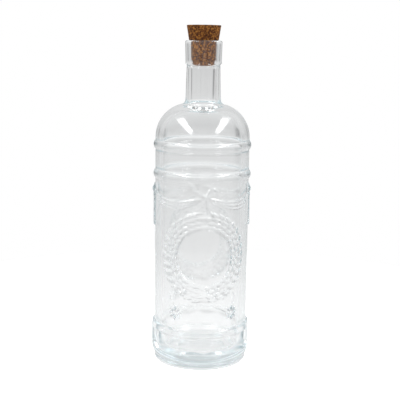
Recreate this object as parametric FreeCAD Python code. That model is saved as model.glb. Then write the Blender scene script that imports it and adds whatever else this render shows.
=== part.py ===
import FreeCAD, Part
import math
import os

# Clear pressed-glass bottle of the one-litre class, with an agglomerate cork pushed into its mouth.
# Millimetres. +Z is up, the front is -Y, and the origin is the middle of the ring it stands on.
# The relief on the front is repeated on the back, turned half a turn about Z.

# ---- foot and base ----
foot_height = 5.5              # plain band above the heel, flush with the body
heel_radius = 1.9
bearing_width = 8.0            # flat ring that the bottle stands on
push_up_height = 3.0           # shallow dome under the base

# ---- faceted collar above the foot ----
collar_proud = 2.6             # how far the collar stands out from the body
corner_setback = 0.26          # the flats' corners lie this far inside the collar
flat_count = 12
flat_low = 18.3                # upright part of the flats' middles
flat_high = 29.9
shoulder_rise = 2.6            # height over which a shoulder runs out from flat to corner
lip_height = 14.4              # edge of the rounded lip below the flats
lip_step = 0.4
collar_top = 36.1
collar_draft = 0.5             # the collar's upper band leans in this much
collar_round = 1.9
collar_round_span = 80.0       # degrees of the rounding before it runs out to the body
collar_run_out = 0.475         # height over which it runs out

# ---- body ----
body_radius = 44.0
body_height = 213.0            # where the dome starts
wall = 6.6
floor_thickness = 11.0
floor_rise = 2.0
floor_corner = 11.0

# ---- hoops round the body ----
hoop_drops = (33.8, 6.7)       # below the top of the body
hoop_width = 8.4
hoop_proud = 1.7

# ---- dome and neck ----
dome_inset = 12.6              # the dome's curve is struck from this far off the axis
dome_inner_inset = 11.9
neck_length = 31.7             # plain neck between the dome's fillet and the finish
neck_wall = 4.6
neck_taper = 0.9               # the neck narrows by this much towards its top
neck_fillet = 4.5

# ---- finish and bore ----
finish_height = 20.7
finish_proud = 1.2
finish_taper = 0.5             # the finish widens by this much towards the rim
rim_round = 1.5
bore_radius = 11.8
bore_taper = 0.5               # the bore widens by this much towards the rim
mouth_round = 1.5

# ---- cork ----
cork_clearance = 0.15
cork_depth = 20.0              # length below the rim
cork_proud = 14.2              # length above the rim
cork_step = 0.2                # ledge with which the cork sits on the mouth's rounding
cork_taper = 2.1               # the cork widens by this much towards its top
cork_chamfer_height = 2.4
cork_chamfer_width = 3.0
cork_edge = 0.5

# ---- wreath: three rings of leaves on a low raised ring, on the unrolled wall ----
wreath_height = 107.0
wreath_radius = 34.2
ring_width = 14.6
ring_proud = 0.8
leaf_row_gap = 4.6
leaf_length = 12.0
leaf_width = 5.2
leaf_sink = 0.7                # a leaf's middle line lies this deep in the wall
leaf_splay = 16.0              # degrees that the side rows turn from the wreath's line
leaves_per_half = 8
row_stagger = 0.25             # each row starts this share of a leaf's pitch after the row inside it
bead_radius = 2.0

# ---- bow, swags and side rosettes ----
bow_drop = 16.2                # from the middle of the lower hoop to the bow's knot
loop_length = 11.5
loop_width = 5.4
loop_tilt = 26.0
knot_radius = 2.9
tail_angle = 3.2
tail_radius = 1.3
tail_sink = 0.65
swag_strands = 2
swag_strand_drop = 3.2
swag_dip = 6.5
swag_dip_angle = 38.0
swag_start_angle = 6.0         # from the front; the same angle is kept off the rosette
swag_radius = 1.5
swag_sink = 0.5
swag_steps = 6
rosette_rise = 1.5             # the rosettes sit this much above the knot
rosette_radius = 6.2
rosette_proud = 2.6
pendant_length = 27.0
pendant_width = 5.4
pendant_proud = 1.5

# ---- stars and the thin ribbons that carry them ----
star_height = 53.7
star_angle = 36.4
star_radius = 7.4
star_rays = 8
ray_width = 2.4
ribbon_radius = 0.8
ribbon_sink = 0.3
hanger_angle = 12.1            # where the ribbon comes down from the wreath
hanger_bend_angle = 18.2
hanger_rise = 4.8              # steps of the ribbon's route above and below the wreath's edge
hanger_fall = 2.4
joint_swell = 0.15             # a ball where two lengths of cord meet is this much fatter than the cord

# ---- worked out from the sizes above ----
bearing_outer = body_radius - heel_radius
bearing_inner = bearing_outer - bearing_width
collar_radius = body_radius + collar_proud
corner_radius = collar_radius - corner_setback
flat_radius = corner_radius * math.cos(math.pi / flat_count)
inner_radius = body_radius - wall
neck_radius = bore_radius + neck_wall
neck_top_radius = neck_radius - neck_taper
neck_root_height = body_height + math.sqrt(
    (body_radius - dome_inset + neck_fillet) ** 2 - (neck_radius + neck_fillet - dome_inset) ** 2)
finish_low = neck_root_height + neck_length + finish_proud
rim_height = finish_low + finish_height
finish_low_radius = neck_top_radius + finish_proud
finish_high_radius = finish_low_radius + finish_taper
bore_rim_radius = bore_radius + bore_taper
mouth_low = rim_height - mouth_round
bore_taper_low = rim_height - cork_depth
bow_height = body_height - max(hoop_drops) - bow_drop
rosette_height = bow_height + rosette_rise


def at(radius, height):
    return FreeCAD.Vector(radius, 0, height)


def chain(points):
    return [Part.makeLine(first, last) for first, last in zip(points[:-1], points[1:])]


def arcEdge(first, middle, last):
    return Part.Arc(first, middle, last).toShape()


def roundEdge(centre, radius, start, end):
    """Arc in the XZ plane about a centre, between two angles in degrees above level."""
    places = []
    for degrees in (start, (start + end) / 2, end):
        angle = math.radians(degrees)
        places.append(centre + FreeCAD.Vector(radius * math.cos(angle), 0, radius * math.sin(angle)))
    return arcEdge(*places), places[0], places[2]


def shallowDome(rise, radius, base):
    """Arc from the axis out to a radius, rising by a small height in the middle."""
    sphere = (radius ** 2 + rise ** 2) / (2 * rise)
    half = math.sqrt(sphere ** 2 - (radius / 2) ** 2) - (sphere - rise)
    return arcEdge(at(0, base + rise), at(radius / 2, base + half), at(radius, base))


def domeToNeck(side_radius, inset, stem_radius):
    """Arc that closes a cylinder in from its top, and the fillet that turns it up into a stem."""
    curve_radius = side_radius - inset
    fillet_x = stem_radius + neck_fillet
    rise = math.sqrt((curve_radius + neck_fillet) ** 2 - (fillet_x - inset) ** 2)
    meeting = math.degrees(math.atan2(rise, fillet_x - inset))
    dome, start, end = roundEdge(at(inset, body_height), curve_radius, 0, meeting)
    root, first, last = roundEdge(
        at(fillet_x, body_height + rise), neck_fillet, 180 + meeting, 180)
    return [dome, root], last


def turned(edges):
    """Solid of revolution about Z from a closed outline in the XZ plane."""
    face = Part.Face(Part.Wire(Part.sortEdges(edges)[0]))
    solid = face.revolve(FreeCAD.Vector(0, 0, 0), FreeCAD.Vector(0, 0, 1), 360)
    return solid if solid.Volume > 0 else solid.reversed()


def hoop(height):
    low = at(body_radius, height - hoop_width / 2)
    high = at(body_radius, height + hoop_width / 2)
    return arcEdge(low, at(body_radius + hoop_proud, height), high), low, high


def footOutline():
    """Underside, heel, foot band, rounded lip and the groove that holds the flats."""
    edges = [shallowDome(push_up_height, bearing_inner, 0)]
    edges += chain([at(bearing_inner, 0), at(bearing_outer, 0)])
    heel, start, end = roundEdge(at(bearing_outer, heel_radius), heel_radius, -90, 0)
    edges.append(heel)
    foot_edge = at(body_radius, foot_height)
    edges += chain([end, foot_edge])
    lip_edge = at(collar_radius, lip_height)
    rise = lip_height - foot_height
    lip_curve = (rise ** 2 + collar_proud ** 2) / (2 * collar_proud)
    half_rise = lip_curve * math.sin(math.asin(rise / lip_curve) / 2)
    half_out = lip_curve - math.sqrt(lip_curve ** 2 - half_rise ** 2)
    edges.append(arcEdge(foot_edge, at(collar_radius - half_out, lip_height - half_rise), lip_edge))
    groove_radius = flat_radius - lip_step
    slope = shoulder_rise / (corner_radius - flat_radius)
    run_in = lip_step * slope
    edges += chain([
        lip_edge,
        at(collar_radius - lip_step, lip_height + lip_step),
        at(collar_radius, flat_low - shoulder_rise),
        at(groove_radius, flat_low + run_in),
        at(groove_radius, flat_high - run_in),
        at(collar_radius, flat_high + shoulder_rise),
    ])
    return edges, at(collar_radius, flat_high + shoulder_rise)


def glassOutline():
    edges, collar_edge = footOutline()
    band_edge = at(collar_radius - collar_draft, collar_top)
    band_round, start, end = roundEdge(
        band_edge - at(collar_round, 0), collar_round, 0, collar_round_span)
    place = at(body_radius, end.z + collar_run_out)
    edges += chain([collar_edge, band_edge])
    edges.append(band_round)
    edges += chain([end, place])
    for drop in hoop_drops:
        bead, low, high = hoop(body_height - drop)
        edges += chain([place, low])
        edges.append(bead)
        place = high
    edges += chain([place, at(body_radius, body_height)])
    dome, neck_root = domeToNeck(body_radius, dome_inset, neck_radius)
    edges += dome
    rim, rim_start, rim_end = roundEdge(
        at(finish_high_radius - rim_round, rim_height - rim_round), rim_round, 0, 90)
    edges += chain([
        neck_root,
        at(neck_top_radius, finish_low - finish_proud),
        at(finish_low_radius, finish_low),
        rim_start,
    ])
    edges.append(rim)
    mouth, mouth_start, mouth_end = roundEdge(
        at(bore_rim_radius + mouth_round, mouth_low), mouth_round, 90, 180)
    edges += chain([rim_end, mouth_start])
    edges.append(mouth)
    inner_dome, bore_root = domeToNeck(inner_radius, dome_inner_inset, bore_radius)
    edges += chain([mouth_end, at(bore_radius, bore_taper_low), bore_root])
    edges += inner_dome
    corner_start = at(inner_radius - floor_corner, floor_thickness)
    corner, low, high = roundEdge(
        at(inner_radius - floor_corner, floor_thickness + floor_corner), floor_corner, -90, 0)
    edges += chain([at(inner_radius, body_height), high])
    edges.append(corner)
    edges.append(shallowDome(floor_rise, corner_start.x, floor_thickness))
    edges += chain([at(0, floor_thickness + floor_rise), at(0, push_up_height)])
    return edges


def flatsPrism():
    """Ring with flat sides, its corners turned to the front, inside the wall at both ends."""
    corners = []
    low = flat_low - shoulder_rise
    for index in range(flat_count + 1):
        angle = 2 * math.pi * index / flat_count - math.pi / 2
        across = corner_radius * math.cos(angle)
        corners.append(FreeCAD.Vector(across, corner_radius * math.sin(angle), low))
    height = flat_high - flat_low + 2 * shoulder_rise
    prism = Part.Face(Part.makePolygon(corners)).extrude(FreeCAD.Vector(0, 0, height))
    core = Part.makeCylinder(body_radius - wall / 2, height, FreeCAD.Vector(0, 0, low))
    return prism.cut(core)


def onWall(shape, angle, height, turn=0.0, sink=0.0):
    """Place a shape on the wall: its X runs round the wall, its Y up, its Z straight out.
    The angle is measured from the front, the turn in the wall's own plane, both in degrees."""
    around = math.radians(angle)
    tangent = FreeCAD.Vector(math.cos(around), math.sin(around), 0)
    outward = FreeCAD.Vector(math.sin(around), -math.cos(around), 0)
    frame = FreeCAD.Matrix()
    frame.A11, frame.A21, frame.A31 = tangent
    frame.A12, frame.A22, frame.A32 = (0, 0, 1)
    frame.A13, frame.A23, frame.A33 = outward
    centre = outward * (body_radius - sink) + FreeCAD.Vector(0, 0, height)
    frame.A14, frame.A24, frame.A34 = centre
    placed = shape.copy()
    placed.rotate(FreeCAD.Vector(0, 0, 0), FreeCAD.Vector(0, 0, 1), turn)
    placed.transformShape(frame, True)
    return placed


def wallPoint(angle, height, sink=0.0):
    around = math.radians(angle)
    radius = body_radius - sink
    return FreeCAD.Vector(radius * math.sin(around), -radius * math.cos(around), height)


def wallAngle(distance):
    return math.degrees(distance / body_radius)


def spindle(length, width):
    """Pointed leaf, round in section, along X about the origin."""
    tip = FreeCAD.Vector(length / 2, 0, 0)
    outline = [
        arcEdge(tip * -1, FreeCAD.Vector(0, width / 2, 0), tip),
        Part.makeLine(tip, tip * -1),
    ]
    leaf = Part.Face(Part.Wire(outline)).revolve(FreeCAD.Vector(0, 0, 0), FreeCAD.Vector(1, 0, 0), 360)
    return leaf if leaf.Volume > 0 else leaf.reversed()


def rods(places, radius):
    """Round rod along a list of points, with a slightly fatter ball at every joint."""
    pieces = []
    for first, last in zip(places[:-1], places[1:]):
        along = last - first
        pieces.append(Part.makeCylinder(radius, along.Length, first, along))
    for place in places:
        pieces.append(Part.makeSphere(radius + joint_swell, place))
    return pieces


def wreathRing():
    """Low raised ring under the leaves: round on the unrolled wall, so an upright oval from the front."""
    oval = []
    for radius in (wreath_radius + ring_width / 2, wreath_radius - ring_width / 2):
        across = body_radius * math.sin(radius / body_radius)
        ellipse = Part.Ellipse(
            FreeCAD.Vector(0, -2 * body_radius, wreath_height + radius),
            FreeCAD.Vector(across, -2 * body_radius, wreath_height),
            FreeCAD.Vector(0, -2 * body_radius, wreath_height))
        face = Part.Face(Part.Wire(ellipse.toShape()))
        oval.append(face.extrude(FreeCAD.Vector(0, 2 * body_radius, 0)))
    low = wreath_height - wreath_radius - ring_width
    height = 2 * (wreath_radius + ring_width)
    skin = Part.makeCylinder(body_radius + ring_proud, height, FreeCAD.Vector(0, 0, low))
    core = Part.makeCylinder(body_radius - wall / 2, height, FreeCAD.Vector(0, 0, low))
    return skin.cut(core).common(oval[0]).cut(oval[1])


def wreath():
    """Leaves in three rings, growing from the bottom up both sides, with a bead at top and bottom."""
    leaves = []
    leaf = spindle(leaf_length, leaf_width)
    for row in (-1, 0, 1):
        ring = wreath_radius + row * leaf_row_gap
        for side in (-1, 1):
            for index in range(leaves_per_half):
                along = 180.0 * (index + 0.5 + row_stagger * row) / leaves_per_half
                if not 0 < along < 180:
                    continue
                round_ring = math.radians(along)
                across = side * ring * math.sin(round_ring)
                height = wreath_height - ring * math.cos(round_ring)
                turn = along - row * leaf_splay
                if side < 0:
                    turn = 180 - turn
                leaves.append(onWall(leaf, wallAngle(across), height, turn, leaf_sink))
    bead = Part.makeSphere(bead_radius)
    outer_row = wreath_radius + leaf_row_gap
    for height in (wreath_height - outer_row, wreath_height + outer_row):
        leaves.append(onWall(bead, 0, height, 0, leaf_sink))
    return leaves


def bow():
    pieces = [onWall(Part.makeSphere(knot_radius), 0, bow_height, 0, leaf_sink)]
    loop = spindle(loop_length, loop_width)
    reach = (loop_length + knot_radius) / 2
    tilt = math.radians(loop_tilt)
    for side in (-1, 1):
        angle = wallAngle(side * reach * math.cos(tilt))
        turn = loop_tilt if side > 0 else 180 - loop_tilt
        pieces.append(onWall(loop, angle, bow_height + reach * math.sin(tilt), turn, leaf_sink))
        foot = wreath_height + wreath_radius + 2 * leaf_row_gap
        tail = [wallPoint(side * tail_angle / 2, bow_height - knot_radius, tail_sink),
                wallPoint(side * tail_angle, foot, tail_sink)]
        pieces += rods(tail, tail_radius)
    return pieces


def swagHeight(angle, drop):
    """The swag hangs from the knot, dips beyond it, and rises to the rosette at the side."""
    share = angle / swag_dip_angle
    if share < 1:
        lift = (1 - share) ** 2 * swag_dip
    else:
        rest = (angle - swag_dip_angle) / (90 - swag_dip_angle)
        lift = rest ** 2 * (swag_dip + rosette_height - bow_height)
    return bow_height - swag_dip + lift - drop


def swags():
    pieces = []
    for side in (-1, 1):
        for strand in range(swag_strands):
            places = []
            for step in range(swag_steps + 1):
                angle = swag_start_angle + (90 - 2 * swag_start_angle) * step / swag_steps
                height = swagHeight(angle, swag_strand_drop * strand)
                places.append(wallPoint(side * angle, height, swag_sink))
            pieces += rods(places, swag_radius)
    return pieces


def rosette():
    """Round boss at the side, with a pendant ribbon under it."""
    dome = (rosette_radius ** 2 + rosette_proud ** 2) / (2 * rosette_proud)
    boss = Part.makeSphere(dome, FreeCAD.Vector(0, 0, rosette_proud - dome))
    keep = Part.makeCylinder(rosette_radius + rosette_proud, 2 * rosette_proud + wall / 2,
                             FreeCAD.Vector(0, 0, -wall / 2))
    boss = boss.common(keep)
    pendant = spindle(pendant_length, pendant_width)
    sink = pendant_width / 2 - pendant_proud
    middle = rosette_height - rosette_radius - pendant_length / 2
    return [onWall(boss, 90, rosette_height), onWall(pendant, 90, middle, 90, sink)]


def stars():
    pieces = []
    ray = spindle(star_radius, ray_width)
    for side in (-1, 1):
        for index in range(star_rays):
            turn = 360.0 * index / star_rays
            reach = star_radius / 2 + ray_width / 4
            across = reach * math.cos(math.radians(turn))
            rise = reach * math.sin(math.radians(turn))
            angle = side * star_angle + wallAngle(across)
            pieces.append(onWall(ray, angle, star_height + rise, turn, ribbon_sink))
        foot = wreath_height - wreath_radius - 2 * leaf_row_gap
        star_side = star_angle - wallAngle(star_radius)
        hang = [
            wallPoint(side * hanger_angle, foot + hanger_rise, ribbon_sink),
            wallPoint(side * hanger_angle, foot - hanger_fall, ribbon_sink),
            wallPoint(side * hanger_bend_angle, foot - 2 * hanger_fall, ribbon_sink),
            wallPoint(side * star_side, star_height + ray_width / 2, ribbon_sink),
        ]
        pieces += rods(hang, ribbon_radius)
    return pieces


def ornament():
    pieces = [wreathRing()] + wreath() + bow() + swags() + rosette() + stars()
    both = list(pieces)
    for piece in pieces:
        other = piece.copy()
        other.rotate(FreeCAD.Vector(0, 0, 0), FreeCAD.Vector(0, 0, 1), 180)
        both.append(other)
    return both


def bottle():
    glass = turned(glassOutline())
    return glass.multiFuse([flatsPrism()] + ornament())


def cork():
    """Squeezed to the bore inside the neck, spreading over the mouth's rounding above it."""
    low = rim_height - cork_depth
    high = rim_height + cork_proud
    seat, seat_start, seat_end = roundEdge(
        at(bore_rim_radius + mouth_round, mouth_low), mouth_round + cork_clearance, 180, 90)
    chamfer_high = low + cork_chamfer_height
    inside = bore_radius - cork_clearance
    spread = seat_end.x + cork_step
    edges = chain([
        at(0, low),
        at(inside - cork_chamfer_width, low),
        at(inside, chamfer_high),
        seat_start,
    ])
    edges.append(seat)
    edges += chain([
        seat_end,
        at(spread, seat_end.z + cork_step),
        at(spread + cork_taper, high - cork_edge),
        at(spread + cork_taper - cork_edge, high),
        at(0, high),
        at(0, low),
    ])
    return turned(edges)


def save(shape, name):
    if shape.ShapeType == "Compound" and len(shape.Solids) == 1:
        shape = shape.Solids[0]
    box = shape.BoundBox
    print(name, "valid", shape.isValid(), "solids", len(shape.Solids), "faces", len(shape.Faces),
          "volume", round(shape.Volume), "box", round(box.XLength, 2), round(box.YLength, 2),
          round(box.ZMin, 3), round(box.ZMax, 2))
    shape.exportStep("parts/" + name + ".step")


os.makedirs("parts", exist_ok=True)
save(bottle(), "glass_bottle")
save(cork(), "cork_stopper")
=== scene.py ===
import math
import random

import bpy
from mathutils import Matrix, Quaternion, Vector


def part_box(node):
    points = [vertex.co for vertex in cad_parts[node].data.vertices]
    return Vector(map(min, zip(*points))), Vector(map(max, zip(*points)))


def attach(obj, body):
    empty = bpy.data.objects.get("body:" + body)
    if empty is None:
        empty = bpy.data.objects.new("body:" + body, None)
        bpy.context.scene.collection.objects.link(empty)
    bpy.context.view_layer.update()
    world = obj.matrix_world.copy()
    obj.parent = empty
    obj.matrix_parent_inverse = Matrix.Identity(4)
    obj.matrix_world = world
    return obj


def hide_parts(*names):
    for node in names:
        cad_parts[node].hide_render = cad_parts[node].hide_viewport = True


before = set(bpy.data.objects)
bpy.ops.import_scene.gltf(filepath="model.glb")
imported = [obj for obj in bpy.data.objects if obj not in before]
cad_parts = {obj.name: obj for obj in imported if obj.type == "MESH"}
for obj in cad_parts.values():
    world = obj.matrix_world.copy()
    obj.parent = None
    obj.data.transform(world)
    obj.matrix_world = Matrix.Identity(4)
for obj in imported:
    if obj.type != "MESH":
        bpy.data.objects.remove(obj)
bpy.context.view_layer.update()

mm = 0.001
weldGap = 0.002 * mm  # points closer than this become one
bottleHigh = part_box("glass_bottle")[1]
corkLow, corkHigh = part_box("cork_stopper")
rimHeight = bottleHigh.z
collarRadius = bottleHigh.x
print("frame loaded:", sorted(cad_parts))


def selectOnly(*things):
    bpy.ops.object.select_all(action="DESELECT")
    for thing in things:
        thing.select_set(True)
    bpy.context.view_layer.objects.active = things[0]


def editAll(thing):
    selectOnly(thing)
    bpy.ops.object.mode_set(mode="EDIT")
    bpy.ops.mesh.select_all(action="SELECT")


def objectMode():
    bpy.ops.object.mode_set(mode="OBJECT")


def added(addOperator, **options):  # a new primitive, with all else deselected
    bpy.ops.object.select_all(action="DESELECT")
    addOperator(**options)
    return bpy.context.object


def applyModifiers(thing):
    selectOnly(thing)
    for modifier in list(thing.modifiers):
        bpy.ops.object.modifier_apply(modifier=modifier.name)


def settle(thing):  # puts place, turn and scale into the mesh
    selectOnly(thing)
    bpy.ops.object.transform_apply(location=True, rotation=True, scale=True)


def duplicated(thing):
    selectOnly(thing)
    bpy.ops.object.duplicate(linked=False)
    return bpy.context.object


def joined(things, name):
    selectOnly(*things)
    bpy.ops.object.join()
    whole = bpy.context.object
    whole.name = name
    return whole


def remove(thing):
    selectOnly(thing)
    bpy.ops.object.delete()


def selectWhere(thing, test):  # picks vertices by their place, in edit mode
    bpy.ops.mesh.select_all(action="DESELECT")
    bpy.ops.object.mode_set(mode="OBJECT")
    for vertex in thing.data.vertices:
        vertex.select = test(vertex.co)
    bpy.ops.object.mode_set(mode="EDIT")


def arc(centre, radius, start, end, steps):  # angles in degrees above level
    places = []
    for step in range(steps + 1):
        angle = math.radians(start + (end - start) * step / steps)
        places.append((centre[0] + radius * math.cos(angle),
                       centre[1] + radius * math.sin(angle)))
    return places


def straight(first, last, steps):
    return [(first[0] + (last[0] - first[0]) * step / steps,
             first[1] + (last[1] - first[1]) * step / steps) for step in range(steps + 1)]


def lineTo(places, end, steps):  # goes on straight from the last place
    places += straight(places[-1], end, steps)[1:]


def drawOutline(name, places):  # a chain of vertices in the XZ plane, from (radius, height) pairs
    first = places[0]
    outline = added(bpy.ops.mesh.primitive_plane_add, size=mm, location=(first[0], 0, first[1]))
    outline.name = name
    settle(outline)
    editAll(outline)
    bpy.ops.mesh.merge(type="CENTER")
    for before, after in zip(places[:-1], places[1:]):
        step = (after[0] - before[0], 0, after[1] - before[1])
        bpy.ops.mesh.extrude_vertices_move(TRANSFORM_OT_translate={"value": step})
    objectMode()
    return outline


def closeUp():  # welds doubles and turns the faces outwards, in edit mode
    bpy.ops.mesh.select_all(action="SELECT")
    bpy.ops.mesh.remove_doubles(threshold=weldGap)
    bpy.ops.mesh.normals_make_consistent(inside=False)


def turnOnAxis(outline, columns):
    editAll(outline)
    bpy.ops.mesh.spin(steps=columns, angle=math.tau, center=(0, 0, 0), axis=(0, 0, 1))
    closeUp()
    objectMode()
    return outline


body = {
    "radius": 44.0 * mm,
    "top": 213.0 * mm,  # where the dome starts
    "wall": 6.6 * mm,
    "hoopDrops": (33.8 * mm, 6.7 * mm),  # below the top
    "hoopRows": (3, 6),  # rows of plain wall under each hoop
    "hoopWidth": 8.4 * mm,
    "hoopProud": 1.7 * mm,
    "floor": 11.0 * mm,
    "floorRise": 2.0 * mm,
    "floorCorner": 11.0 * mm,
}
foot = {
    "height": 5.5 * mm,
    "heel": 1.9 * mm,
    "bearing": 8.0 * mm,
    "pushUp": 3.0 * mm,
    "lip": 14.4 * mm,
    "lipStep": 0.4 * mm,
    "flatLow": 18.3 * mm,
    "flatHigh": 29.9 * mm,
    "flats": 12,
    "cornerSetback": 0.26 * mm,
    "cornerReach": 0.2,  # degrees to each side that count as the corner
    "shoulder": 2.6 * mm,
    "top": 36.1 * mm,
    "draft": 0.5 * mm,
    "round": 1.9 * mm,
    "roundEnd": 80.0,
}
neck = {
    "domeInset": 12.6 * mm,
    "innerInset": 11.9 * mm,
    "bore": 11.8 * mm,
    "boreTaper": 0.5 * mm,
    "wall": 4.6 * mm,
    "taper": 0.9 * mm,
    "fillet": 4.5 * mm,
    "innerFillet": 8.0 * mm,
    "finish": 20.7 * mm,
    "finishProud": 1.2 * mm,
    "finishTaper": 0.5 * mm,
    "rimRound": 1.5 * mm,
    "mouthRound": 1.5 * mm,
    "corkDepth": 20.0 * mm,
}
grid = {
    "columns": 96,
    "firstSpan": -150.0,  # the front span runs from here to -30 degrees
    "spans": ((120, 128), (21, 8), (18, 22), (21, 8)),  # degrees and columns, for half a turn
    "rowSteps": ((14.4, 0.7), (14.8, 0.4), (15.7, 0.45), (18.3, 0.52), (29.9, 1.3),
                 (32.5, 0.44), (36.1, 0.9), (38.0, 0.32), (46.0, 0.9), (62.0, 0.6),
                 (66.0, 0.8), (149.0, 0.74), (173.6, 0.68)),  # height reached and row pitch, mm
    "targetColumns": 256,
    "targetReach": 2.0 * mm,  # how far the target runs past the relief rows
    "reliefLow": 13.0 * mm,
    "reliefHigh": 173.6 * mm,
    "seamGap": 0.8 * mm,  # bridged later
    "seamReach": 1.0 * mm,
    "skinGap": 4.0 * mm,
    "soften": 0.04,
    "softenLow": 68.0 * mm,
    "softenHigh": 172.0 * mm,
    "smoothAngle": 50.0,
}


def domeToNeck(side, inset, stem, fillet, steps):
    curve = side - inset
    filletX = stem + fillet
    rise = math.sqrt((curve + fillet) ** 2 - (filletX - inset) ** 2)
    meeting = math.degrees(math.atan2(rise, filletX - inset))
    places = arc((inset, body["top"]), curve, 0, meeting, steps)
    places += arc((filletX, body["top"] + rise), fillet, 180 + meeting, 180, steps=8)[1:]
    return places


def shallowDome(rise, radius, base, steps):  # from the axis outwards
    sphere = (radius ** 2 + rise ** 2) / (2 * rise)
    places = []
    for step in range(steps + 1):
        x = radius * step / steps
        places.append((x, base + math.sqrt(sphere ** 2 - x ** 2) - (sphere - rise)))
    return places


def lipCurve(fromHeight, toHeight, steps):  # the rounded lip between foot band and collar
    out = collarRadius - body["radius"]
    rise = foot["lip"] - foot["height"]
    curve = (rise ** 2 + out ** 2) / (2 * out)
    places = []
    for step in range(steps + 1):
        z = fromHeight + (toHeight - fromHeight) * step / steps
        across = math.sqrt(curve ** 2 - (foot["lip"] - z) ** 2)
        places.append((collarRadius - curve + across, z))
    return places


def baseOutline():  # underside, heel, foot band and the start of the lip
    bearingOuter = body["radius"] - foot["heel"]
    bearingInner = bearingOuter - foot["bearing"]
    places = shallowDome(foot["pushUp"], bearingInner, 0, steps=12)
    lineTo(places, (bearingOuter, 0), steps=3)
    places += arc((bearingOuter, foot["heel"]), foot["heel"], -90, 0, steps=6)[1:]
    lineTo(places, (body["radius"], foot["height"]), steps=2)
    places += lipCurve(foot["height"], grid["reliefLow"] - grid["seamGap"], steps=7)[1:]
    return places


def flatsBand():  # the heights between which the collar's flats are cut
    return foot["flatLow"] - foot["shoulder"], foot["flatHigh"] + foot["shoulder"]


def collarOutline():  # lip, groove behind the flats, collar band and the wall up to the hoops
    corner = collarRadius - foot["cornerSetback"]
    flat = corner * math.cos(math.pi / foot["flats"])
    slope = foot["shoulder"] / (corner - flat)
    groove = flat - foot["lipStep"]
    runIn = foot["lipStep"] * slope
    bandLow, bandHigh = flatsBand()
    places = lipCurve(grid["reliefLow"] - grid["targetReach"], foot["lip"], steps=6)
    places += [
        (collarRadius - foot["lipStep"], foot["lip"] + foot["lipStep"]),
        (collarRadius, bandLow),
        (groove, foot["flatLow"] + runIn),
        (groove, foot["flatHigh"] - runIn),
        (collarRadius, bandHigh),
        (collarRadius - foot["draft"], foot["top"]),
    ]
    roundCentre = (collarRadius - foot["draft"] - foot["round"], foot["top"])
    places += arc(roundCentre, foot["round"], 0, foot["roundEnd"], steps=6)[1:]
    places.append((body["radius"], places[-1][1] + foot["round"] / 4))  # a slope on to the wall
    places.append((body["radius"], grid["reliefHigh"] + grid["targetReach"]))
    return places


def mouthCentre():  # of the rounding between the rim and the bore
    return neck["bore"] + neck["boreTaper"] + neck["mouthRound"], rimHeight - neck["mouthRound"]


def upperOutline():  # hoops, dome, neck, finish and mouth
    radius = body["radius"]
    half = body["hoopWidth"] / 2
    curve = (half ** 2 + body["hoopProud"] ** 2) / (2 * body["hoopProud"])
    reach = math.degrees(math.asin(half / curve))
    places = [(radius, grid["reliefHigh"] + grid["seamGap"])]
    for drop, rows in zip(body["hoopDrops"], body["hoopRows"]):
        middle = body["top"] - drop
        lineTo(places, (radius, middle - half), rows)
        hoopCentre = (radius + body["hoopProud"] - curve, middle)
        places += arc(hoopCentre, curve, -reach, reach, steps=14)[1:]
    lineTo(places, (radius, body["top"]), steps=2)
    stem = neck["bore"] + neck["wall"]
    places += domeToNeck(radius, neck["domeInset"], stem, neck["fillet"], steps=26)[1:]
    finishLow = rimHeight - neck["finish"]
    finishRadius = stem - neck["taper"] + neck["finishProud"]
    lineTo(places, (stem - neck["taper"], finishLow - neck["finishProud"]), steps=8)
    lineTo(places, (finishRadius, finishLow), steps=3)
    high = finishRadius + neck["finishTaper"]
    rimCentre = (high - neck["rimRound"], rimHeight - neck["rimRound"])
    lineTo(places, (high, rimCentre[1]), steps=8)
    places += arc(rimCentre, neck["rimRound"], 0, 90, steps=6)[1:]
    lineTo(places, (mouthCentre()[0], rimHeight), steps=2)
    return places + arc(mouthCentre(), neck["mouthRound"], 90, 180, steps=8)[1:]


def liningOutline():  # bore, inside of the dome and the wall, down to the floor
    inner = body["radius"] - body["wall"]
    places = [(neck["bore"] + neck["boreTaper"], rimHeight - neck["mouthRound"])]
    lineTo(places, (neck["bore"], rimHeight - neck["corkDepth"]), steps=6)
    inside = domeToNeck(inner, neck["innerInset"], neck["bore"], neck["innerFillet"], steps=22)
    lineTo(places, inside[-1], steps=8)
    places += list(reversed(inside))[1:]
    corner = (inner - body["floorCorner"], body["floor"] + body["floorCorner"])
    lineTo(places, (inner, corner[1]), steps=24)
    places += arc(corner, body["floorCorner"], 0, -90, steps=10)[1:]
    floorDome = shallowDome(body["floorRise"], corner[0], body["floor"], steps=10)
    places += list(reversed(floorDome))[1:]
    return places


# The relief is made as a flat sheet and wrapped on the wall later:
# X runs across, Z up and -Y out of the wall, whose surface is Y = 0.

leafForm = {  # on a leaf one unit long, wide and high to each side
    "fullness": 1.7,  # higher keeps it wide nearer to its ends
    "taper": 0.18,
    "flatFrom": 0.45,
    "ribHalf": 0.05,
    "ribFrom": 0.1,
}


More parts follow.
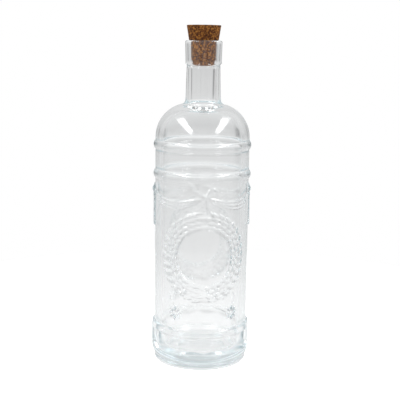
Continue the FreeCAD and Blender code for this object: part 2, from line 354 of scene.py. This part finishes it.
def makeLeaf(length, width, height, lift, groove, flat):  # along X, raised at its tip
    leaf = added(bpy.ops.mesh.primitive_uv_sphere_add, segments=16, ring_count=12, radius=1)
    leaf.name = "leaf"
    leaf.rotation_euler = (0, math.pi / 2, 0)
    settle(leaf)
    editAll(leaf)
    rings = sorted({round(v.co.x, 4) for v in leaf.data.vertices})
    for ring in rings[1:-1]:
        across = math.sqrt(1 - ring * ring)
        wanted = (1 - abs(ring) ** leafForm["fullness"]) * (1 - leafForm["taper"] * ring)
        selectWhere(leaf, lambda co: abs(co.x - ring) < 0.001)
        size = (1, wanted / across, wanted / across)
        bpy.ops.transform.resize(value=size, center_override=(ring, 0, 0))
    flatFrom = -leafForm["flatFrom"]
    selectWhere(leaf, lambda co: co.y < flatFrom)  # flat top with steep sides
    bpy.ops.transform.resize(value=(1, flat, 1), center_override=(0, flatFrom, 0))
    selectWhere(leaf, lambda co: abs(co.z) < leafForm["ribHalf"] and co.y < -leafForm["ribFrom"])
    bpy.ops.transform.translate(value=(0, groove, 0))  # the midrib
    objectMode()
    leaf.scale = (length / 2, height, width / 2)
    leaf.rotation_euler = (0, 0, math.radians(-lift))
    settle(leaf)
    return leaf


def placeCopy(thing, x, z, turn, out=0.0):
    other = duplicated(thing)
    other.rotation_euler = (0, math.radians(-turn), 0)
    other.location = (x, -out, z)
    settle(other)
    return other


def copiesRound(thing, count, centre, reach):
    copies = []
    for index in range(count):
        turn = index * 360 / count
        x = centre[0] + reach * math.cos(math.radians(turn))
        z = centre[1] + reach * math.sin(math.radians(turn))
        copies.append(placeCopy(thing, x, z, turn))
    return copies


def makeBall(size, x, z):
    ball = added(bpy.ops.mesh.primitive_uv_sphere_add, segments=24, ring_count=16, radius=1,
                 location=(x, 0, z))
    ball.scale = size
    settle(ball)
    return ball


def makeStrand(name, places, thick, flatten=0.75):  # a rounded strand along (x, z) places
    strand = added(bpy.ops.curve.primitive_nurbs_path_add)
    strand.name = name
    spline = strand.data.splines[0]
    spline.points.add(len(places) - len(spline.points))
    for point, place in zip(spline.points, places):
        point.co = (place[0], 0, place[1], 1)
    spline.order_u = 3
    spline.use_endpoint_u = True
    strand.data.resolution_u = 8
    strand.data.bevel_depth = thick
    strand.data.bevel_resolution = 3
    strand.data.use_fill_caps = True
    bpy.ops.object.convert(target="MESH")
    strand = bpy.context.object
    strand.scale = (1, flatten, 1)
    settle(strand)
    return strand


def sidePath(path, side, x=0.0, z=0.0):  # mm from (x, z), turned over for the left side
    return [(x + side * across * mm, z + up * mm) for across, up in path]


wreath = {
    "height": 107.0 * mm,
    "radius": 34.2 * mm,
    "ringWidth": 15.0 * mm,
    "ringProud": 0.8 * mm,
    "rows": (-1.5, -0.5, 0.5, 1.5),
    "rowGap": 3.9 * mm,
    "stations": 16,  # leaves in each row of each half, from the foot to the top
    "stagger": 0.25,
    "lastAngle": 177.0,
    "leafLength": 10.0 * mm,
    "leafWidth": 4.4 * mm,
    "leafHeight": 1.9 * mm,
    "leafLift": 8.0,
    "leafGroove": 0.25,
    "leafFlat": 0.75,
    "leafOut": 0.4 * mm,
    "splay": 17.0,
    "sway": 8.0,
    "swaySeed": 5,
}


def makeWreath():
    half = wreath["ringWidth"] / 2
    ring = added(bpy.ops.mesh.primitive_torus_add, major_radius=wreath["radius"],
                 minor_radius=half, major_segments=144, minor_segments=24)
    ring.rotation_euler = (math.pi / 2, 0, 0)
    settle(ring)
    ring.scale = (1, wreath["ringProud"] / half, 1)
    ring.location = (0, 0, wreath["height"])
    settle(ring)
    pieces = [ring]
    leaf = makeLeaf(wreath["leafLength"], wreath["leafWidth"], wreath["leafHeight"],
                    wreath["leafLift"], wreath["leafGroove"], wreath["leafFlat"])
    stations = wreath["stations"]
    sway = random.Random(wreath["swaySeed"])
    for row in wreath["rows"]:
        radius = wreath["radius"] + row * wreath["rowGap"]
        for side in (-1, 1):
            for station in range(stations):
                along = 180 * (station + 0.5 + wreath["stagger"] * (row % 2)) / stations
                if along > wreath["lastAngle"]:
                    continue
                x = side * radius * math.sin(math.radians(along))
                z = wreath["height"] - radius * math.cos(math.radians(along))
                turn = along - row * wreath["splay"] + sway.uniform(-1, 1) * wreath["sway"]
                facing = turn if side > 0 else 180 - turn
                pieces.append(placeCopy(leaf, x, z, facing, wreath["leafOut"]))
    remove(leaf)
    return pieces


bow = {
    "height": 163.0 * mm,
    "looseEnd": ((0.6, 0.3), (3.6, 1.6), (7.2, 4.2), (10.6, 5.6), (12.0, 8.6), (11.2, 10.2)),
    "loop": ((0.8, 0.4), (2.6, 4.0), (5.4, 7.4), (9.0, 7.2), (10.2, 4.4), (7.4, 1.4), (1.2, -0.4)),
    "loopThick": 1.15 * mm,
    "tail": ((0.8, -1.0), (1.8, -4.5), (1.6, -8.0), (3.0, -12.0), (2.6, -15.0)),
    "tailThick": 1.0 * mm,
    "flatten": 1.0,
    "knot": (2.8 * mm, 2.0 * mm, 2.4 * mm),
}


def makeBow():
    pieces = []
    z = bow["height"]
    for side, path in ((-1, bow["looseEnd"]), (1, bow["loop"])):
        line = sidePath(path, side, z=z)
        pieces.append(makeStrand("bow loop", line, bow["loopThick"], bow["flatten"]))
        line = sidePath(bow["tail"], side, z=z)
        pieces.append(makeStrand("bow tail", line, bow["tailThick"], bow["flatten"]))
    pieces.append(makeBall(bow["knot"], 0, z))
    return pieces


rosette = {
    "rise": 1.5 * mm,  # above the bow
    "radius": 6.2 * mm,
    "petals": 8,
    "petalWidth": 0.62,  # of the radius, as is the reach
    "petalReach": 0.52,
    "petalHeight": 1.8 * mm,
    "petalGroove": 0.15,
    "petalFlat": 0.35,
    "boss": (3.4 * mm, 2.5 * mm, 3.4 * mm),
    "pendant": ((0.8, -3.0), (2.0, -9.0), (1.2, -15.0), (2.6, -22.0), (1.8, -29.0), (2.4, -34.0)),
    "pendantThick": 1.5 * mm,
    "pendantFlatten": 1.1,
}


def makeRosette():
    x = body["radius"] * math.pi / 2
    z = bow["height"] + rosette["rise"]
    radius = rosette["radius"]
    petal = makeLeaf(radius, radius * rosette["petalWidth"], rosette["petalHeight"],
                     0.0, rosette["petalGroove"], rosette["petalFlat"])
    pieces = copiesRound(petal, rosette["petals"], (x, z), radius * rosette["petalReach"])
    remove(petal)
    pieces.append(makeBall(rosette["boss"], x, z))
    for side in (-1, 1):
        line = sidePath(rosette["pendant"], side, x, z)
        pieces.append(makeStrand("pendant", line, rosette["pendantThick"],
                                 rosette["pendantFlatten"]))
    return pieces


swag = {
    "strands": ((6.0, 0.0, 1.3), (8.8, 1.2, 0.9), (11.4, 2.4, 0.7)),  # drop, spread, thickness, mm
    "startX": 4.0 * mm,
    "startDrop": 0.5 * mm,
    "endGap": 3.0 * mm,
    "steps": 8,
    "lean": 0.9,  # 1 would put the lowest place halfway
}


def swagLine(drop, spread):
    startX = swag["startX"]
    endX = body["radius"] * math.pi / 2 - swag["endGap"]
    places = []
    for step in range(swag["steps"] + 1):
        share = step / swag["steps"]
        sag = max(0.0, 1 - (2 * share - swag["lean"]) ** 2)
        base = bow["height"] - swag["startDrop"] + (rosette["rise"] - spread) * share
        places.append((startX + (endX - startX) * share, base - drop * sag))
    return places


def makeSwags():
    pieces = []
    for drop, spread, thick in swag["strands"]:
        line = swagLine(drop * mm, spread * mm)
        pieces.append(makeStrand("swag", line, thick * mm))
        pieces.append(makeStrand("swag", [(-x, z) for x, z in line], thick * mm))
    return pieces


star = {
    "height": 53.7 * mm,
    "aside": 28.0 * mm,
    "radius": 7.4 * mm,
    "rays": 8,
    "rayLength": 0.85,  # of the radius, as is the reach
    "rayReach": 0.58,
    "rayWidth": 2.3 * mm,
    "rayHeight": 2.3 * mm,
    "innerRibbon": ((10.2, 66.0), (10.8, 61.5), (13.5, 59.6), (17.0, 58.2), (20.5, 56.2),
                    (24.0, 54.6)),
    "innerThick": 0.95 * mm,
    "outerRibbon": ((30.0, 73.0), (31.6, 71.0), (32.2, 68.5), (31.6, 65.0), (29.0, 61.5)),
    "outerThick": 0.85 * mm,
}


def makeStars():  # with the ribbons that they hang on
    pieces = []
    ray = makeLeaf(star["radius"] * star["rayLength"], star["rayWidth"], star["rayHeight"],
                   lift=0.0, groove=0.0, flat=1.0)
    for side in (-1, 1):
        centre = (side * star["aside"], star["height"])
        pieces += copiesRound(ray, star["rays"], centre, star["radius"] * star["rayReach"])
        line = sidePath(star["innerRibbon"], side)
        pieces.append(makeStrand("ribbon", line, star["innerThick"]))
        line = sidePath(star["outerRibbon"], side)
        pieces.append(makeStrand("ribbon", line, star["outerThick"]))
    remove(ray)
    return pieces


def wrapOnWall(sheet):  # bends the flat sheet round the axis, front at -Y
    settle(sheet)
    bend = sheet.modifiers.new("wrap", "SIMPLE_DEFORM")
    bend.deform_method = "BEND"
    bend.deform_axis = "Z"
    bend.angle = sheet.dimensions.x / body["radius"]
    applyModifiers(sheet)
    sheet.location = (0, -body["radius"], 0)
    settle(sheet)
    return sheet


def makeReliefTarget():
    print("modelling the relief")
    pieces = makeWreath() + makeSwags() + makeBow() + makeRosette() + makeStars()
    front = wrapOnWall(joined(pieces, "relief front"))
    back = duplicated(front)
    back.rotation_euler = (0, 0, math.pi)
    settle(back)
    wall = turnOnAxis(drawOutline("plain wall", collarOutline()), grid["targetColumns"])
    low, high = flatsBand()
    flats = added(bpy.ops.mesh.primitive_cylinder_add, vertices=foot["flats"],
                  radius=collarRadius - foot["cornerSetback"], depth=high - low,
                  location=(0, 0, (low + high) / 2))
    settle(flats)
    return joined([wall, flats, front, back], "relief target")


def onCorner(co):  # on one of the upright corners between the collar's flats
    low, high = flatsBand()
    if not low < co.z < high:
        return False
    pitch = 360 / foot["flats"]
    around = math.degrees(math.atan2(co.y, co.x)) / pitch
    return abs(around - round(around)) * pitch < foot["cornerReach"]


def makeReliefWall():
    target = makeReliefTarget()
    skinRadius = collarRadius + grid["skinGap"]
    places = [(skinRadius, grid["reliefLow"])]
    for top, pitch in grid["rowSteps"]:
        rows = math.ceil((top * mm - places[-1][1]) / (pitch * mm))
        lineTo(places, (skinRadius, top * mm), rows)
    wall = drawOutline("relief wall", places)
    wall.rotation_euler = (0, 0, math.radians(grid["firstSpan"]))
    settle(wall)
    editAll(wall)
    for span, steps in grid["spans"] * 2:
        bpy.ops.mesh.spin(steps=steps, angle=math.radians(span), center=(0, 0, 0), axis=(0, 0, 1))
    closeUp()
    objectMode()
    press = wall.modifiers.new("press", "SHRINKWRAP")
    press.wrap_method = "PROJECT"
    press.target = target
    press.use_negative_direction = True
    press.use_positive_direction = False
    applyModifiers(wall)
    remove(target)
    editAll(wall)
    selectWhere(wall, lambda co: grid["softenLow"] < co.z < grid["softenHigh"])
    bpy.ops.mesh.vertices_smooth(factor=grid["soften"], repeat=1)
    selectWhere(wall, onCorner)
    bpy.ops.mesh.select_mode(type="EDGE")
    bpy.ops.mesh.mark_sharp()
    bpy.ops.mesh.select_mode(type="VERT")
    objectMode()
    return wall


def closeSeam(bottle, height):  # bridges the two open edges on each side of this height
    editAll(bottle)
    bpy.ops.mesh.select_mode(type="EDGE")
    bpy.ops.mesh.select_non_manifold(extend=False, use_wire=False, use_multi_face=False,
                                     use_non_contiguous=False, use_verts=False)
    objectMode()
    near = {v.index for v in bottle.data.vertices if abs(v.co.z - height) < grid["seamReach"]}
    for edge in bottle.data.edges:
        edge.select = edge.select and edge.vertices[0] in near and edge.vertices[1] in near
    bpy.ops.object.mode_set(mode="EDIT")
    bpy.ops.mesh.bridge_edge_loops()
    bpy.ops.mesh.select_mode(type="VERT")
    objectMode()


def makeBottle():
    wall = makeReliefWall()
    print("relief pressed:", len(wall.data.vertices), "points")
    base = turnOnAxis(drawOutline("base", baseOutline()), grid["columns"])
    upper = turnOnAxis(drawOutline("upper", upperOutline()), grid["columns"])
    lining = turnOnAxis(drawOutline("lining", liningOutline()), grid["columns"])
    addHaze(lining)
    bottle = joined([wall, base, upper, lining], "bottleGlass")
    editAll(bottle)
    bpy.ops.mesh.remove_doubles(threshold=weldGap)
    objectMode()
    closeSeam(bottle, grid["reliefLow"])
    closeSeam(bottle, grid["reliefHigh"])
    editAll(bottle)
    bpy.ops.mesh.normals_make_consistent(inside=False)
    objectMode()
    selectOnly(bottle)
    bpy.ops.object.shade_smooth_by_angle(angle=math.radians(grid["smoothAngle"]),
                                         keep_sharp_edges=True)
    return bottle


cork = {
    "clearance": 0.15 * mm,
    "chamferHeight": 2.4 * mm,
    "chamferWidth": 3.0 * mm,
    "step": 0.2 * mm,
    "edge": 0.5 * mm,
    "columns": 220,
    "grain": 0.35 * mm,
    "grainSize": 1.6 * mm,
    "smoothAngle": 60.0,
}


def corkOutline():
    low, high, top = corkLow.z, corkHigh.z, corkHigh.x
    inside = neck["bore"] - cork["clearance"]
    seat = arc(mouthCentre(), neck["mouthRound"] + cork["clearance"], 180, 90, steps=6)
    places = straight((0, low), (inside - cork["chamferWidth"], low), steps=10)
    lineTo(places, (inside, low + cork["chamferHeight"]), steps=6)
    lineTo(places, seat[0], steps=26)
    places += seat[1:]
    lineTo(places, (seat[-1][0] + cork["step"], seat[-1][1] + cork["step"]), steps=2)
    lineTo(places, (top, high - cork["edge"]), steps=24)
    lineTo(places, (top - cork["edge"], high), steps=2)
    lineTo(places, (0, high), steps=24)
    return places


def makeCork():
    stopper = turnOnAxis(drawOutline("corkStopper", corkOutline()), cork["columns"])
    grain = bpy.data.textures.new("grain", "VORONOI")
    grain.noise_scale = cork["grainSize"]
    grain.distance_metric = "DISTANCE"
    grain.weight_1 = -1.0
    grain.weight_2 = 1.0
    grain.noise_intensity = 1.0
    rough = stopper.modifiers.new("rough", "DISPLACE")
    rough.texture = grain
    rough.texture_coords = "LOCAL"
    rough.mid_level = 1.0
    rough.strength = cork["grain"]
    applyModifiers(stopper)
    selectOnly(stopper)
    bpy.ops.object.shade_smooth_by_angle(angle=math.radians(cork["smoothAngle"]))
    return stopper


def newMaterial(name):
    material = bpy.data.materials.new(name)
    material.use_nodes = True
    nodes = material.node_tree.nodes
    links = material.node_tree.links
    return material, nodes, links, nodes["Principled BSDF"], nodes["Material Output"]


glassLook = {
    "ior": 1.5,
    "roughness": 0.0,
    "liningRoughness": 0.17,  # stands in for small waves of the inner wall
    "hazeTop": 250.0 * mm,
    "hazeFade": 65.0 * mm,
    "tint": (0.76, 0.86, 0.89, 1),
    "density": 9.0,
    "shadowTint": (0.92, 0.94, 0.94, 1),
    "waveScale": 55.0,
    "waveDetail": 1.0,
    "waveStrength": 1.0,
    "waveHeight": 0.08 * mm,
}


def addHaze(lining):  # 1 on the inner wall of the body, fading to 0 in the neck
    haze = lining.data.attributes.new("haze", "FLOAT", "POINT")
    for point, vertex in zip(haze.data, lining.data.vertices):
        share = (glassLook["hazeTop"] - vertex.co.z) / glassLook["hazeFade"]
        point.value = min(1.0, max(0.0, share))


def glassMaterial():
    material, nodes, links, shader, output = newMaterial("clear pressed glass")
    shader.inputs["Base Color"].default_value = (1, 1, 1, 1)
    shader.inputs["Transmission Weight"].default_value = 1.0
    shader.inputs["IOR"].default_value = glassLook["ior"]
    haze = nodes.new("ShaderNodeAttribute")
    haze.attribute_name = "haze"
    soft = nodes.new("ShaderNodeMapRange")
    soft.inputs["To Min"].default_value = glassLook["roughness"]
    soft.inputs["To Max"].default_value = glassLook["liningRoughness"]
    links.new(haze.outputs["Fac"], soft.inputs["Value"])
    links.new(soft.outputs[0], shader.inputs["Roughness"])
    where = nodes.new("ShaderNodeTexCoord")
    waves = nodes.new("ShaderNodeTexNoise")
    waves.inputs["Scale"].default_value = glassLook["waveScale"]
    waves.inputs["Detail"].default_value = glassLook["waveDetail"]
    links.new(where.outputs["Object"], waves.inputs["Vector"])
    bump = nodes.new("ShaderNodeBump")
    bump.inputs["Strength"].default_value = glassLook["waveStrength"]
    bump.inputs["Distance"].default_value = glassLook["waveHeight"]
    links.new(waves.outputs["Fac"], bump.inputs["Height"])
    links.new(bump.outputs[0], shader.inputs["Normal"])
    clear = nodes.new("ShaderNodeBsdfTransparent")  # lets the light through to the floor
    clear.inputs["Color"].default_value = glassLook["shadowTint"]
    path = nodes.new("ShaderNodeLightPath")
    mix = nodes.new("ShaderNodeMixShader")
    links.new(path.outputs["Is Shadow Ray"], mix.inputs[0])
    links.new(shader.outputs[0], mix.inputs[1])
    links.new(clear.outputs[0], mix.inputs[2])
    links.new(mix.outputs[0], output.inputs["Surface"])
    tint = nodes.new("ShaderNodeVolumeAbsorption")
    tint.inputs["Color"].default_value = glassLook["tint"]
    tint.inputs["Density"].default_value = glassLook["density"]
    links.new(tint.outputs[0], output.inputs["Volume"])
    return material


corkLook = {
    "grainPitch": 1.05 * mm,
    "dark": (0.034, 0.009, 0.002, 1),
    "middle": (0.125, 0.038, 0.007, 1),
    "pale": (0.46, 0.19, 0.035, 1),
    "roughness": 0.9,
    "specular": 0.2,
}


def corkMaterial():
    material, nodes, links, shader = newMaterial("agglomerate cork")[:4]
    where = nodes.new("ShaderNodeTexCoord")
    cells = nodes.new("ShaderNodeTexVoronoi")
    cells.inputs["Scale"].default_value = 1 / corkLook["grainPitch"]
    links.new(where.outputs["Object"], cells.inputs["Vector"])
    ramp = nodes.new("ShaderNodeValToRGB")
    ramp.color_ramp.elements[0].color = corkLook["dark"]
    ramp.color_ramp.elements[1].color = corkLook["pale"]
    ramp.color_ramp.elements.new(0.5).color = corkLook["middle"]
    split = nodes.new("ShaderNodeSeparateColor")
    links.new(cells.outputs["Color"], split.inputs[0])
    links.new(split.outputs[0], ramp.inputs[0])
    links.new(ramp.outputs[0], shader.inputs["Base Color"])
    shader.inputs["Roughness"].default_value = corkLook["roughness"]
    shader.inputs["Specular IOR Level"].default_value = corkLook["specular"]
    return material


stage = {  # levels are brightness against a value from low to 1
    "floorRadius": 0.45,
    "floorWhite": 0.8,
    "floorRoughness": 0.9,
    "cameraGlow": 0.75,
    # the floor as the glass sees it, by distance from the middle: painted shadow under the bottle,
    # a painted pool of light round it, dimmer towards the edge
    "floorPaintedShadeAndPool": ((0.0, 0.88), (0.095, 0.88), (0.135, 0.98), (0.36, 0.98), (1.0, 0.80)),
    "levels": ((-1.0, 0.98), (-0.31, 0.98), (-0.27, 0.87), (-0.22, 0.77), (-0.17, 0.73),
               (-0.09, 0.72), (-0.03, 0.61), (0.08, 0.68), (0.35, 0.76), (1.0, 0.74)),
    "stripLevel": 0.40,
    "stripPitch": 45.0,
    "stripHalf": 4.5,
    "stripSoft": 2.0,
    "stripFade": ((-1.0, 0.15), (-0.12, 0.15), (-0.07, 1.0), (0.0, 1.0), (0.06, 0.15), (1.0, 0.15)),
    "panelWidth": 1.9,
    "panelHeight": 0.62,
    "panelPlace": (0.8, -0.55, 1.05),
    "panelTilt": 16.0,
    "panelCore": 0.35,  # share of the panel that is at full strength
    "panelStrength": 10.0,
    "bounces": 32,
    "glossyBounces": 16,
}


def calc(nodes, links, operation, first, second=None):
    node = nodes.new("ShaderNodeMath")
    node.operation = operation
    for socket, value in zip(node.inputs, (first, second)):
        if value is None:
            continue
        if isinstance(value, (int, float)):
            socket.default_value = value
        else:
            links.new(value, socket)
    return node.outputs[0]


def levelRamp(nodes, levels, low=-1):  # brightness along a value that runs from low to 1
    ramp = nodes.new("ShaderNodeValToRGB")
    elements = ramp.color_ramp.elements
    while len(elements) < len(levels):
        elements.new(0.5)
    for element, (rise, level) in zip(elements, levels):
        element.position = (rise - low) / (1 - low)
        element.color = (level, level, level, 1)
    return ramp


def makeFloor():
    floor = added(bpy.ops.mesh.primitive_circle_add, vertices=128, radius=stage["floorRadius"],
                  fill_type="NGON")
    floor.name = "floor"
    material, nodes, links, shader, output = newMaterial("white sheet with painted shade and pool")
    shader.inputs["Base Color"].default_value = (stage["floorWhite"],) * 3 + (1,)
    shader.inputs["Roughness"].default_value = stage["floorRoughness"]
    shader.inputs["Specular IOR Level"].default_value = 0.0
    glow = nodes.new("ShaderNodeEmission")
    glow.inputs["Strength"].default_value = stage["cameraGlow"]
    lit = nodes.new("ShaderNodeAddShader")
    links.new(shader.outputs[0], lit.inputs[0])
    links.new(glow.outputs[0], lit.inputs[1])
    where = nodes.new("ShaderNodeTexCoord")
    reach = nodes.new("ShaderNodeVectorMath")
    reach.operation = "LENGTH"
    links.new(where.outputs["Object"], reach.inputs[0])
    # distance from the middle, for the painted shadow and painted pool of light
    paintedPoolReach = nodes.new("ShaderNodeMapRange")
    paintedPoolReach.inputs["From Max"].default_value = stage["floorRadius"]
    links.new(reach.outputs["Value"], paintedPoolReach.inputs["Value"])
    levels = levelRamp(nodes, stage["floorPaintedShadeAndPool"], 0)
    links.new(paintedPoolReach.outputs[0], levels.inputs[0])
    through = nodes.new("ShaderNodeEmission")  # what the glass shows of the floor: painted shadow under the bottle and a painted pool of light round it
    links.new(levels.outputs[0], through.inputs["Color"])
    path = nodes.new("ShaderNodeLightPath")
    mix = nodes.new("ShaderNodeMixShader")
    links.new(path.outputs["Is Camera Ray"], mix.inputs[0])
    links.new(through.outputs[0], mix.inputs[1])
    links.new(lit.outputs[0], mix.inputs[2])
    links.new(mix.outputs[0], output.inputs["Surface"])
    floor.data.materials.append(material)


def makeWorld():  # white to the camera, dimmer through the glass and on the object
    world = bpy.data.worlds.new("studio")
    bpy.context.scene.world = world
    world.use_nodes = True
    nodes, links = world.node_tree.nodes, world.node_tree.links
    background = nodes["Background"]
    where = nodes.new("ShaderNodeTexCoord")
    split = nodes.new("ShaderNodeSeparateXYZ")
    links.new(where.outputs["Generated"], split.inputs[0])
    half = nodes.new("ShaderNodeMapRange")
    half.inputs["From Min"].default_value = -1
    links.new(split.outputs["Z"], half.inputs["Value"])
    ramp = levelRamp(nodes, stage["levels"])
    links.new(half.outputs[0], ramp.inputs[0])
    around = calc(nodes, links, "ARCTAN2", split.outputs["Y"], split.outputs["X"])
    pitch = math.radians(stage["stripPitch"])
    share = calc(nodes, links, "PINGPONG", around, pitch / 2)
    strip = nodes.new("ShaderNodeMapRange")
    strip.interpolation_type = "SMOOTHSTEP"
    outer = math.radians(stage["stripHalf"] + stage["stripSoft"])
    inner = math.radians(stage["stripHalf"] - stage["stripSoft"])
    strip.inputs["From Min"].default_value = pitch / 2 - outer
    strip.inputs["From Max"].default_value = pitch / 2 - inner
    links.new(share, strip.inputs["Value"])
    fade = levelRamp(nodes, stage["stripFade"])
    links.new(half.outputs[0], fade.inputs[0])
    faded = calc(nodes, links, "MULTIPLY", strip.outputs[0], fade.outputs[0])
    depth = calc(nodes, links, "MULTIPLY", faded, 1 - stage["stripLevel"])
    level = calc(nodes, links, "SUBTRACT", 1.0, depth)
    shade = nodes.new("ShaderNodeMix")
    shade.data_type = "RGBA"
    shade.blend_type = "MULTIPLY"
    shade.inputs["Factor"].default_value = 1.0
    links.new(ramp.outputs[0], shade.inputs["A"])
    links.new(level, shade.inputs["B"])
    path = nodes.new("ShaderNodeLightPath")
    mix = nodes.new("ShaderNodeMix")
    mix.data_type = "RGBA"
    links.new(path.outputs["Is Camera Ray"], mix.inputs["Factor"])
    links.new(shade.outputs["Result"], mix.inputs["A"])
    mix.inputs["B"].default_value = (1, 1, 1, 1)
    links.new(mix.outputs["Result"], background.inputs["Color"])


def panelMaterial():  # bright in the middle, fading to nothing at the edges
    material, nodes, links, shader, output = newMaterial("soft panel")
    nodes.remove(shader)
    where = nodes.new("ShaderNodeTexCoord")
    centre = nodes.new("ShaderNodeMapping")
    centre.inputs["Location"].default_value = (-1, -1, 0)
    centre.inputs["Scale"].default_value = (2, 2, 0)
    links.new(where.outputs["UV"], centre.inputs["Vector"])
    split = nodes.new("ShaderNodeSeparateXYZ")
    links.new(centre.outputs[0], split.inputs[0])
    edge = calc(nodes, links, "MAXIMUM", calc(nodes, links, "ABSOLUTE", split.outputs["X"]),
                calc(nodes, links, "ABSOLUTE", split.outputs["Y"]))
    soft = nodes.new("ShaderNodeMapRange")
    soft.interpolation_type = "SMOOTHSTEP"
    soft.inputs["From Min"].default_value = 1.0
    soft.inputs["From Max"].default_value = stage["panelCore"]
    soft.inputs["To Min"].default_value = 0.0
    soft.inputs["To Max"].default_value = stage["panelStrength"]
    links.new(edge, soft.inputs["Value"])
    glow = nodes.new("ShaderNodeEmission")
    links.new(soft.outputs[0], glow.inputs["Strength"])
    clear = nodes.new("ShaderNodeBsdfTransparent")
    both = nodes.new("ShaderNodeAddShader")
    links.new(glow.outputs[0], both.inputs[0])
    links.new(clear.outputs[0], both.inputs[1])
    links.new(both.outputs[0], output.inputs["Surface"])
    return material


def makePanels():
    material = panelMaterial()
    x, y, z = stage["panelPlace"]
    for side in (-1, 1):
        panel = added(bpy.ops.mesh.primitive_plane_add, size=1)
        panel.name = "panel"
        panel.scale = (stage["panelWidth"], stage["panelHeight"], 1)
        panel.rotation_euler = (math.pi / 2, -math.radians(stage["panelTilt"]), math.pi / 2)
        panel.location = (side * x, y, z)
        panel.data.materials.append(material)
        panel.visible_camera = False
        panel.visible_diffuse = False
        panel.visible_shadow = False


view = {
    "lens": 77.7,
    "sensor": 36.0,
    "distance": 806 * mm,
    "height": 292.5 * mm,
    "pitch": 9.82,
    "roll": 0.77,
    "turn": 4.1,
    "aside": 1.6 * mm,
}


def makeCamera():
    data = bpy.data.cameras.new("camera")
    data.lens = view["lens"]
    data.sensor_width = view["sensor"]
    camera = bpy.data.objects.new("camera", data)
    bpy.context.scene.collection.objects.link(camera)
    turn = math.radians(view["turn"])
    back = Vector((-math.sin(turn), -math.cos(turn), 0))
    side = Vector((math.cos(turn), -math.sin(turn), 0))
    rise = Vector((0, 0, view["height"]))
    camera.location = back * view["distance"] - side * view["aside"] + rise
    pitch = math.radians(view["pitch"])
    ahead = -back * math.cos(pitch) - Vector((0, 0, math.sin(pitch)))
    level = ahead.to_track_quat("-Z", "Y")
    camera.rotation_mode = "QUATERNION"
    camera.rotation_quaternion = level @ Quaternion((0, 0, 1), math.radians(view["roll"]))
    bpy.context.scene.camera = camera


scene = bpy.context.scene
scene.view_settings.view_transform = "Standard"
scene.cycles.max_bounces = stage["bounces"]
scene.cycles.transmission_bounces = stage["bounces"]
scene.cycles.transparent_max_bounces = stage["bounces"]
scene.cycles.glossy_bounces = stage["glossyBounces"]

bottle = makeBottle()
bottle.data.materials.clear()
bottle.data.materials.append(glassMaterial())
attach(bottle, "root")
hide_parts("glass_bottle")
print("bottle made:", len(bottle.data.polygons), "faces")

stopper = makeCork()
stopper.data.materials.clear()
stopper.data.materials.append(corkMaterial())
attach(stopper, "root")
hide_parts("cork_stopper")
print("cork made:", len(stopper.data.polygons), "faces")

makeFloor()
makeWorld()
makePanels()
makeCamera()
print("set and camera made")
